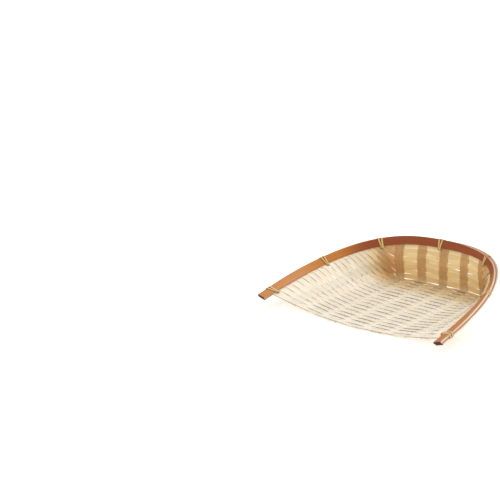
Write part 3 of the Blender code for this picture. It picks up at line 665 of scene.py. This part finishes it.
def strip_tree():
    """Sweeps a rounded flat section along a rail, and stores where each point lies in the strip."""
    tree = bpy.data.node_groups.new(STRIP_TREE, "GeometryNodeTree")
    tree.is_modifier = True
    for name, kind in STRIP_INPUTS.items():
        tree.interface.new_socket(name=name, in_out="INPUT", socket_type="NodeSocket" + kind)
    tree.interface.new_socket(name="Geometry", in_out="OUTPUT", socket_type="NodeSocketGeometry")
    node = partial(add, tree)
    given = node("NodeGroupInput").outputs
    read = {}
    for key in (*RAIL_VECTORS, "half_width", "run", "free", "turn"):
        kind = "FLOAT_VECTOR" if key in RAIL_VECTORS else "FLOAT"
        read[key] = node("GeometryNodeInputNamedAttribute", {"Name": key}, data_type=kind)

    section = node("GeometryNodeCurvePrimitiveCircle", {"Resolution": given["Section Points"]})
    factor = node("GeometryNodeSplineParameter").outputs["Factor"]
    turn = node("MULTIPLY", (factor, math.tau))
    section = node("GeometryNodeStoreNamedAttribute", {"Geometry": section, "Name": "turn", "Value": turn},
                   data_type="FLOAT", domain="POINT")
    rails = node("GeometryNodeMeshToCurve", {"Mesh": given["Geometry"]})
    shaped = node("GeometryNodeCurveToMesh", {"Curve": rails, "Profile Curve": section, "Fill Caps": True})

    ways = []
    for operation in ("COSINE", "SINE"):
        way = node(operation, (read["turn"],))
        size = node("ABSOLUTE", (way,))
        size = node("POWER", (size, given["Corner Roundness"]))
        sign = node("SIGN", (way,))
        ways.append(node("MULTIPLY", (size, sign)))
    across, through = ways
    square = node("MULTIPLY", (across, across))
    domed = node("SUBTRACT", (1.0, square))
    arch = node("MULTIPLY", (domed, given["Crown"]))
    half = node("MULTIPLY", (given["Thickness"], 0.5))
    outward = node("MULTIPLY_ADD", (through, half, arch))

    waves = node("DIVIDE", (read["run"], given["Wave Length"]))
    waves = node("ShaderNodeCombineXYZ", {"X": waves, "Y": given["Seed"]})
    waves = node("ShaderNodeTexNoise", {"Vector": waves, "Scale": 1.0, "Detail": 1.0}).outputs["Fac"]
    stray = node("SUBTRACT", (waves, 0.5))
    stray = node("MULTIPLY", (stray, given["Waviness"]))
    stray = node("MULTIPLY", (stray, read["free"]))
    sideways = node("MULTIPLY_ADD", (across, read["half_width"], stray))
    place = read["place"]
    for way, distance in (("side", sideways), ("up", outward)):
        moved = node(VECTOR_MATH, {0: read[way], "Scale": distance}, operation="SCALE")
        place = node(VECTOR_MATH, (place, moved), operation="ADD")

    grain = node("ShaderNodeCombineXYZ", {"X": read["run"], "Y": sideways, "Z": given["Seed"]})
    for key, value in (("across", across), ("through", through), ("tone", given["Tone"]), ("grain", grain)):
        shaped = node("GeometryNodeStoreNamedAttribute", {"Geometry": shaped, "Name": key, "Value": value},
                      data_type="FLOAT_VECTOR" if key == "grain" else "FLOAT", domain="POINT")
    shaped = node("GeometryNodeSetPosition", {"Geometry": shaped, "Position": place})
    shaped = node("GeometryNodeRealizeInstances", {"Geometry": shaped})
    shaped = node("GeometryNodeSetMaterial", {"Geometry": shaped, "Material": given["Material"]})
    node("NodeGroupOutput", {"Geometry": shaped})
    return tree


def rail_mesh(name, line):
    """A line of edges that carries a rail's ways and sizes as attributes."""
    mesh = bpy.data.meshes.new(name)
    mesh.from_pydata(line["place"].tolist(), [(i, i + 1) for i in range(len(line["place"]) - 1)], [])
    for key in RAIL_VECTORS:
        mesh.attributes.new(key, "FLOAT_VECTOR", "POINT").data.foreach_set("vector", line[key].ravel())
    for key in RAIL_VALUES:
        mesh.attributes.new(key, "FLOAT", "POINT").data.foreach_set("value", line[key])
    return mesh


def turn_outwards(mesh):
    """Turns the faces round where the closed strip holds a negative volume."""
    corners = np.empty(len(mesh.vertices) * 3)
    mesh.vertices.foreach_get("co", corners)
    corners = corners.reshape(-1, 3)
    mesh.calc_loop_triangles()
    faces = np.empty(len(mesh.loop_triangles) * 3, int)
    mesh.loop_triangles.foreach_get("vertices", faces)
    a, b, c = corners[faces.reshape(-1, 3)].transpose(1, 0, 2)
    if np.sum(a * np.cross(b, c)) < 0.0:
        mesh.flip_normals()


def sweep(name, line, material, node, slot, **sizes):
    """Makes one strip along its rail, as a plain mesh that stands for a node of the frame."""
    tree = bpy.data.node_groups.get(STRIP_TREE) or strip_tree()
    piece = bpy.data.objects.new(name, rail_mesh(name, line))
    bpy.context.scene.collection.objects.link(piece)
    modifier = piece.modifiers.new("Strip", "NODES")
    modifier.node_group = tree
    given = {**STRIP_DEFAULTS, "Material": material}
    given.update({key.replace("_", " ").title(): value for key, value in sizes.items()})
    for socket in tree.interface.items_tree:
        if socket.in_out == "INPUT" and socket.name in given:
            modifier[socket.identifier] = given[socket.name]
    bpy.context.view_layer.update()
    graph = bpy.context.evaluated_depsgraph_get()
    mesh = bpy.data.meshes.new_from_object(piece.evaluated_get(graph), preserve_all_data_layers=True,
                                           depsgraph=graph)
    if not mesh.polygons:
        raise RuntimeError("%s came out empty" % name)
    piece.modifiers.clear()
    piece.data = mesh
    mesh.name = name
    turn_outwards(mesh)
    mesh.shade_smooth()
    mesh.set_sharp_from_angle(angle=SHARP_ANGLE)
    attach(piece, "root")
    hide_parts(node)
    return piece


# Finishes

def bamboo(name, tones, roughness, streak, ring=None, glow=0.0, far=(), edge_colours=(), dark_end=None):
    """Split bamboo. Fibres run along the strip, strips differ in tone, and culm rings cross them.

    tones are the two ends of the strips' tone, streak is how much it changes within a strip, and ring is
    the darker line at a ring of the culm. far is the pairs of tones of painted light and shade that
    the rail's shade leads to, one after the other. The edge colours are the sides coloured apart: across
    or through the strip, where the side begins, with its sign, and the pair of colours it is mixed from;
    raw wood on the hoops, painted shade on the crosswise strips and the strands. A last colour darkens
    the cut ends.
    """
    material = bpy.data.materials.new(name)
    material.use_nodes = True
    material.node_tree.nodes.clear()
    node = partial(add, material.node_tree)
    reads = ("grain", "tone", "shade", "edge_shade_and_raw", "dark_end")
    read = {key: node("ShaderNodeAttribute", attribute_name=key).outputs["Fac"] for key in reads}
    grain = read["grain"].node.outputs["Vector"]
    noises = []
    for (long, wide), detail in ((FIBRE_SIZE, FIBRE_DETAIL), (STREAK_SIZE, STREAK_DETAIL),
                                 (CLOUD_SIZE, CLOUD_DETAIL)):
        place = node(VECTOR_MATH, (grain, (1.0 / long, 1.0 / wide, STRIP_SPREAD)), operation="MULTIPLY")
        noise = node("ShaderNodeTexNoise", {"Vector": place, "Scale": 1.0, "Detail": detail})
        noises.append(noise.outputs["Fac"])
    fibre, streaks, clouds = noises
    share = node("MULTIPLY_ADD", (read["tone"], 1.0 - streak, 0.5 * streak))
    for noise, contrast in ((streaks, STREAK_CONTRAST * streak), (fibre, FIBRE_CONTRAST * streak),
                            (clouds, CLOUD_CONTRAST)):
        change = node("SUBTRACT", (noise, 0.5))
        share = node("MULTIPLY_ADD", (change, contrast, share))

    # Each layer is how much it covers, the share between its two colours, and these
    layers = [(1.0, share, tones)]
    for stop, pair in enumerate(far):
        layers.append((node("SUBTRACT", (read["shade"], float(stop))), share, pair))
    height = node("ADD", (fibre, streaks))
    if ring:
        parts = node("ShaderNodeSeparateXYZ", (grain,)).outputs
        turns = node("DIVIDE", (parts["X"], RING_SPACING))
        turns = node("MULTIPLY_ADD", (parts["Z"], RING_SHIFT, turns))
        off_ring = node("FRACT", (turns,))
        off_ring = node("SUBTRACT", (off_ring, 0.5))
        off_ring = node("ABSOLUTE", (off_ring,))
        off_ring = node("MULTIPLY", (off_ring, RING_SPACING / RING_HALF_WIDTH))
        on_ring = node("SUBTRACT", (1.0, off_ring), use_clamp=True)
        layers.append((node("MULTIPLY", (on_ring, RING_STRENGTH)), 0.0, (ring, ring)))
        height = node("MULTIPLY_ADD", (on_ring, RING_RELIEF, height))
    for way, start, pair in edge_colours:
        place = node("ShaderNodeAttribute", attribute_name=way).outputs["Fac"]
        past = node("MULTIPLY_ADD", (place, math.copysign(1.0, start), -abs(start)))
        on_edge = node("MULTIPLY", (past, EDGE_COLOUR_SHARPNESS), use_clamp=True)
        layers.append((node("MULTIPLY", (on_edge, read["edge_shade_and_raw"])), fibre, pair))
    if dark_end:
        layers.append((read["dark_end"], 0.0, (dark_end, dark_end)))
    shown = tones[0]
    for cover, between, (first, second) in layers:
        over = node(MIX, {0: between, FIRST_COLOUR: first, SECOND_COLOUR: second}, data_type="RGBA")
        over = over.outputs[MIXED_COLOUR]
        shown = node(MIX, {0: cover, FIRST_COLOUR: shown, SECOND_COLOUR: over}, data_type="RGBA")
        shown = shown.outputs[MIXED_COLOUR]

    relief = node("ShaderNodeBump", {"Strength": RELIEF_STRENGTH, "Distance": FIBRE_RELIEF, "Height": height})
    change = node("SUBTRACT", (fibre, 0.5))
    shader = node("ShaderNodeBsdfPrincipled", {
        "Base Color": shown, "Normal": relief, "IOR": WOOD_IOR, "Specular IOR Level": SHEEN,
        "Roughness": node("MULTIPLY_ADD", (change, ROUGHNESS_CHANGE, roughness)),
        "Subsurface Weight": glow, "Subsurface Radius": GLOW_RADII, "Subsurface Scale": GLOW_DEPTH})
    node("ShaderNodeOutputMaterial", {"Surface": shader})
    return material


def weft_finish(pale):
    """Wood split from inside the culm's wall, planed and dried.

    To the eye: pale and silky, with light that passes into it. Painted shade darkens a strip's front edge in
    dashes, and painted glow and shade turn it yellow and tan towards the back wall and its corners.
    """
    return bamboo("Split bamboo, planed and dried", ((*pale, 1.0), "#DACDB7"), roughness=0.50, streak=0.45,
                  ring="#C2A273", glow=0.4, far=(WEFT_PAINTED_YELLOW, WEFT_PAINTED_TAN, PAINTED_CORNER_TAN),
                  edge_colours=(("across", -0.76, ("#82592F", "#573618")),))


def warp_finish():
    """Wood split from near the skin, planed. To the eye: a little warmer, denser and more streaked, and
    painted yellow and tan on the back wall for its glow and shade.
    """
    return bamboo("Split bamboo near the skin, planed", ("#EADFCD", "#DACAAE"), roughness=0.48, streak=0.5,
                  ring="#B98F5C", glow=0.4, far=(WARP_PAINTED_YELLOW, WARP_PAINTED_TAN, PAINTED_CORNER_TAN))


def hoop_finish(name, dye, side):
    """Bamboo with its skin side dyed red-brown, and painted light that turns it paler orange towards the
    tips.

    To the eye: streaky colour under a satin sheen, and raw wood on the sawn edge and the inner side.
    """
    return bamboo("Bamboo, skin side dyed red-brown, " + name.replace("_", " "), ((*dye, 1.0), "#83390B"),
                  roughness=0.42, streak=0.6, far=(("#C47F33", "#B06A24"),),
                  edge_colours=(("across", 0.97, RAW_WOOD), ("through", -0.5 * side, RAW_WOOD)), dark_end=CUT_END)


def rim_strip_finish():
    """The culm's outer skin, shaved thin. To the eye: yellow-green, and brown with painted shade under the
    outer hoop where it nears the tips.
    """
    return bamboo("Bamboo skin, yellow-green", ("#C9B565", "#9C8A3C"), roughness=0.42, streak=0.5,
                  ring="#7A6A30", far=(("#8E5C30", "#6F4321"),), dark_end=CUT_END)


def lashing_finish(strand):
    """Skin split into flat strands. To the eye: straw yellow with a satin sheen, and painted shade along one
    edge.
    """
    return bamboo("Bamboo skin split into flat strands", ((*strand, 1.0), "#BE9C5A"), roughness=0.40,
                  streak=0.5, edge_colours=(("across", -0.5, ("#7C5D22", "#543C14")),))


# What a user may change

def length(name, description, default, least):
    return bpy.props.FloatProperty(name=name, description=description, default=default, min=least,
                                   unit="LENGTH", precision=5)


def amount(name, description, default, **more):
    return bpy.props.FloatProperty(name=name, description=description, default=default, min=0.0, **more)


def colour(name, description, code):
    return bpy.props.FloatVectorProperty(name=name, description=description, default=linear(code), size=3,
                                         subtype="COLOR", min=0.0, max=1.0)


class WeaveSettings(bpy.types.PropertyGroup):
    """The strips of the weave"""
    weft_thickness: length("Crosswise Thickness", "Thickness of a crosswise strip", 0.5 * MM, 0.1 * MM)
    warp_thickness: length("Lengthwise Thickness", "Thickness of a lengthwise strip", 0.6 * MM, 0.1 * MM)
    weft_gap: length("Floor Gap", "Gap between crosswise strips on the floor", 0.25 * MM, 0.0)
    wall_gap: length("Wall Gap", "Gap between the wall's strips, under zero where they overlap",
                     -0.6 * MM, -1.5 * MM)
    crease_gap: length("Crease Gap", "Gap that is left along the crease of the back", 0.42 * MM, 0.0)
    width_change: amount("Width Change", "Share by which a hand-split strip's width changes", 0.08,
                         max=0.3, subtype="FACTOR")
    warp_stray: length("Lengthwise Stray", "How far a lengthwise strip strays from its line", 0.5 * MM, 0.0)
    waviness: length("Waviness", "How far a crosswise strip's course waves", 1.1 * MM, 0.0)
    fold_slack: length("Fold Slack", "Room in the fold under the lip", 0.15 * MM, 0.0)
    step: length("Step", "Distance between the sections of a strip", 1.4 * MM, 0.3 * MM)
    pale: colour("Pale Wood", "Lightest colour of a crosswise strip", "#E9E1D3")
    seed: bpy.props.IntProperty(name="Seed", description="Changes the hand-made unevenness", default=7)


class RimSettings(bpy.types.PropertyGroup):
    """The two hoops and the thin strip under the outer one"""
    strip_width: length("Thin Strip Width", "Width of the strip under the outer hoop", 1.9 * MM, 0.5 * MM)
    strip_thickness: length("Thin Strip Thickness", "Thickness of that strip", 1.5 * MM, 0.5 * MM)
    step: length("Step", "Distance between the sections of a hoop", 1.6 * MM, 0.3 * MM)
    dye: colour("Dye", "Colour of the hoops' dyed side", "#9B4A14")


class LashingSettings(bpy.types.PropertyGroup):
    """The strands that bind the hoops"""
    strand_width: length("Strand Width", "Width of a strand", 2.3 * MM, 0.3 * MM)
    strand_thickness: length("Strand Thickness", "Thickness of a strand", 0.45 * MM, 0.1 * MM)
    turns: amount("Turns", "How often a strand passes round the hoops", 2.0)
    gap_low: length("Low Gap", "Gap between turns under the rim, under zero where they overlap",
                    -1.2 * MM, -2.0 * MM)
    gap_high: length("High Gap", "Gap between turns over the top edge", 2.0 * MM, 0.0)
    step: length("Step", "Distance between the sections of a strand", 0.5 * MM, 0.1 * MM)
    strand: colour("Strand Colour", "Lightest colour of a strand", "#E6CB8E")


class StageSettings(bpy.types.PropertyGroup):
    """Floor, light and camera"""
    floor_colour: colour("Floor Colour", "Colour of the plain floor", "#F4F3F1")
    floor_glow: amount("Floor Glow", "Light that the lit backdrop gives by itself", 0.41)
    key_power: amount("Key Light", "Power of the soft light over and behind the basket", 9.6)
    fill_power: amount("Fill Light", "Power of the soft light from the front", 2.5)
    sky: amount("Sky", "Strength of the even light from all round", 0.77)


class BASKET_OT_crosswise_strips(bpy.types.Operator):
    """Weave the crosswise strips of the floor and the back wall"""
    bl_idname = "basket.crosswise_strips"
    bl_label = "Crosswise Strips"
    bl_options = {"REGISTER", "UNDO"}

    def execute(self, context):
        weave = context.scene.basket_weave
        rng = np.random.default_rng(weave.seed)
        finish = weft_finish(weave.pale)
        for k in range(FLOOR_WEFTS + WALL_WEFTS):
            line = weft_rail(k, weave, rng)
            tone, seed = rng.uniform(0.0, 1.0), rng.uniform(0.0, SEED_MOST)
            sweep("crosswise_strip_%02d" % (k + 1), line, finish, "weft_%02d" % (k + 1), "weft_bamboo",
                  thickness=weave.weft_thickness, waviness=weave.waviness, seed=seed, tone=tone,
                  **WEFT_SECTION)
        return {"FINISHED"}


class BASKET_OT_lengthwise_strips(bpy.types.Operator):
    """Lay the wide lengthwise strips, folded under at the lip"""
    bl_idname = "basket.lengthwise_strips"
    bl_label = "Lengthwise Strips"
    bl_options = {"REGISTER", "UNDO"}

    def execute(self, context):
        weave = context.scene.basket_weave
        rng = np.random.default_rng(weave.seed + 1)
        finish = warp_finish()
        for index in range(2 * WARPS_EACH_SIDE + 1):
            line = warp_rail(index, weave, rng)
            seed, tone = rng.uniform(0.0, SEED_MOST), rng.uniform(*WARP_TONES)
            sweep("lengthwise_strip_%d" % (index + 1), line, finish, "warp_%d" % (index + 1), "warp_bamboo",
                  thickness=weave.warp_thickness, seed=seed, tone=tone, **WARP_SECTION)
        return {"FINISHED"}


class BASKET_OT_hoops(bpy.types.Operator):
    """Bend the two dyed hoops of the rim"""
    bl_idname = "basket.hoops"
    bl_label = "Hoops"
    bl_options = {"REGISTER", "UNDO"}

    def execute(self, context):
        rim = context.scene.basket_rim
        for name, faces, shorter in (("inner_hoop", INNER_HOOP_N, 0.0),
                                     ("outer_hoop", OUTER_HOOP_N, OUTER_HOOP_SHORTER)):
            side = math.copysign(1.0, sum(faces))
            line = rim_rail(RIM_HALF_ARC - shorter, 0.0, sum(faces) / 2, HOOP_WIDTH / 2, rim.step,
                            lean=side > 0.0)
            sweep(name + "_bent", line, hoop_finish(name, rim.dye, side), name, "dyed_hoop_bamboo",
                  thickness=abs(faces[1] - faces[0]), seed=HOOP_SEED + side, **HOOP_SECTION)
        return {"FINISHED"}


class BASKET_OT_rim_strip(bpy.types.Operator):
    """Lay the thin strip under the outer hoop"""
    bl_idname = "basket.rim_strip"
    bl_label = "Thin Rim Strip"
    bl_options = {"REGISTER", "UNDO"}

    def execute(self, context):
        rim = context.scene.basket_rim
        line = rim_rail(RIM_HALF_ARC - RIM_STRIP_SHORTER, RIM_STRIP_C, sum(OUTER_HOOP_N) / 2,
                        rim.strip_width / 2, rim.step)
        sweep("thin_rim_strip", line, rim_strip_finish(), "rim_strip", "rim_strip_bamboo",
              thickness=rim.strip_thickness, seed=RIM_STRIP_SEED, **RIM_STRIP_SECTION)
        return {"FINISHED"}


class BASKET_OT_lashings(bpy.types.Operator):
    """Wind the lashings round both hoops"""
    bl_idname = "basket.lashings"
    bl_label = "Lashings"
    bl_options = {"REGISTER", "UNDO"}

    def execute(self, context):
        lash = context.scene.basket_lashings
        finish = lashing_finish(lash.strand)
        for number, (d, lean) in enumerate(lashing_places(), 1):
            sweep("lashing_strand_%d" % number, lashing_rail(d, lean, lash), finish, "lashing_%d" % number,
                  "lashing_bamboo", thickness=lash.strand_thickness, seed=LASHING_SEED + number,
                  **STRAND_SECTION)
        return {"FINISHED"}


class BASKET_OT_stage(bpy.types.Operator):
    """Set up the plain floor, the soft light and the camera"""
    bl_idname = "basket.stage"
    bl_label = "Stage"
    bl_options = {"REGISTER", "UNDO"}

    def execute(self, context):
        settings = context.scene.basket_stage
        floor_under(settings)
        soft_light("key_softbox", KEY_PLACE, settings.key_power, KEY_SIZE)
        soft_light("fill_softbox", FILL_PLACE, settings.fill_power, FILL_SIZE)
        world = bpy.data.worlds.new("Even studio light")
        world.use_nodes = True
        sky = world.node_tree.nodes["Background"].inputs
        sky["Strength"].default_value = settings.sky
        sky["Color"].default_value = (1.0, 1.0, 1.0, 1.0)
        context.scene.world = world
        context.scene.camera = photo_camera()
        context.scene.view_settings.view_transform = "Standard"
        return {"FINISHED"}


class VIEW3D_PT_basket(bpy.types.Panel):
    """Lists the makers with the sizes they read"""
    bl_idname = "VIEW3D_PT_basket"
    bl_label = "Woven Bamboo Basket"
    bl_space_type = "VIEW_3D"
    bl_region_type = "UI"
    bl_category = "Basket"

    def draw(self, context):
        for name in SETTINGS:
            box = self.layout.box()
            group = getattr(context.scene, name)
            for key in group.bl_rna.properties.keys():
                if key not in ("rna_type", "name"):
                    box.prop(group, key)
        for maker in MAKERS:
            self.layout.operator(maker.bl_idname)


SETTINGS = {"basket_weave": WeaveSettings, "basket_rim": RimSettings, "basket_lashings": LashingSettings,
            "basket_stage": StageSettings}
MAKERS = (BASKET_OT_crosswise_strips, BASKET_OT_lengthwise_strips, BASKET_OT_hoops, BASKET_OT_rim_strip,
          BASKET_OT_lashings, BASKET_OT_stage)


def floor_under(settings):
    """A round pale floor that turns up softly far out, the same on every side."""
    turn = np.linspace(0.0, np.pi / 2, FLOOR_BEND_STOPS)
    profile = [(radius, 0.0) for radius in np.linspace(0.0, FLOOR_RADIUS, FLOOR_RINGS)]
    profile += [(FLOOR_RADIUS + FLOOR_BEND * math.sin(t), FLOOR_BEND * (1.0 - math.cos(t))) for t in turn[1:]]
    around = np.linspace(0.0, math.tau, FLOOR_SIDES, endpoint=False)
    verts = [(0.0, 0.0, 0.0)]
    verts += [(r * math.cos(t), r * math.sin(t), z) for r, z in profile[1:] for t in around]
    faces = [(0, 1 + i, 1 + (i + 1) % FLOOR_SIDES) for i in range(FLOOR_SIDES)]
    for ring in range(len(profile) - 2):
        first, second = 1 + ring * FLOOR_SIDES, 1 + (ring + 1) * FLOOR_SIDES
        faces += [(first + i, second + i, second + (i + 1) % FLOOR_SIDES, first + (i + 1) % FLOOR_SIDES)
                  for i in range(FLOOR_SIDES)]
    mesh = bpy.data.meshes.new("studio_floor")
    mesh.from_pydata(verts, [], faces)
    mesh.shade_smooth()
    floor = bpy.data.objects.new("studio_floor", mesh)
    bpy.context.scene.collection.objects.link(floor)
    # Rolled backdrop paper: matt, almost white, and evenly lit so that it seems to shine by itself
    material = bpy.data.materials.new("Matt white backdrop paper")
    material.use_nodes = True
    shader = material.node_tree.nodes["Principled BSDF"]
    shader.inputs["Base Color"].default_value = (*settings.floor_colour, 1.0)
    shader.inputs["Roughness"].default_value = FLOOR_ROUGHNESS
    shader.inputs["Specular IOR Level"].default_value = FLOOR_SHEEN
    shader.inputs["Emission Color"].default_value = (*settings.floor_colour, 1.0)
    shader.inputs["Emission Strength"].default_value = settings.floor_glow
    mesh.materials.append(material)


def soft_light(name, place, power, size):
    """A round softbox that points at the basket."""
    light = bpy.data.lights.new(name, "AREA")
    light.shape = "DISK"
    light.size = size
    light.energy = power
    lamp = bpy.data.objects.new(name, light)
    lamp.location = place
    lamp.rotation_mode = "QUATERNION"
    lamp.rotation_quaternion = (-Vector(place)).to_track_quat("-Z", "Y")
    bpy.context.scene.collection.objects.link(lamp)


def photo_camera():
    """The camera of the photograph: where it stood and how it was turned."""
    turn, fall = CAMERA_TURN, CAMERA_FALL
    right = Vector((math.cos(turn), math.sin(turn), 0.0))
    ahead = Vector((-math.sin(turn) * math.cos(fall), math.cos(turn) * math.cos(fall), -math.sin(fall)))
    up = right.cross(ahead)
    place = (Vector((0.0, CAMERA_ABOUT_Y - CENTRE_Y, 0.0))
             - right * CAMERA_OFFSET[0] - up * CAMERA_OFFSET[1] - ahead * CAMERA_OFFSET[2])
    camera = bpy.data.objects.new("camera", bpy.data.cameras.new("camera"))
    turned = Matrix((right, up, -ahead)).transposed()
    camera.matrix_world = Matrix.Translation(place) @ turned.to_4x4()
    camera.data.lens = CAMERA_LENS_MM
    camera.data.sensor_width = CAMERA_SENSOR_MM
    camera.data.clip_start, camera.data.clip_end = CAMERA_CLIP
    bpy.context.scene.collection.objects.link(camera)
    return camera


def register():
    for group in SETTINGS.values():
        bpy.utils.register_class(group)
    for name, group in SETTINGS.items():
        setattr(bpy.types.Scene, name, bpy.props.PointerProperty(type=group))
    for maker in MAKERS:
        bpy.utils.register_class(maker)
    bpy.utils.register_class(VIEW3D_PT_basket)


def unregister():
    bpy.utils.unregister_class(VIEW3D_PT_basket)
    for maker in reversed(MAKERS):
        bpy.utils.unregister_class(maker)
    for name, group in SETTINGS.items():
        delattr(bpy.types.Scene, name)
        bpy.utils.unregister_class(group)


def main():
    """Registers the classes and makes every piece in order."""
    register()
    for maker in MAKERS:
        group, operator = maker.bl_idname.split(".")
        getattr(getattr(bpy.ops, group), operator)()


if __name__ == "__main__":
    main()
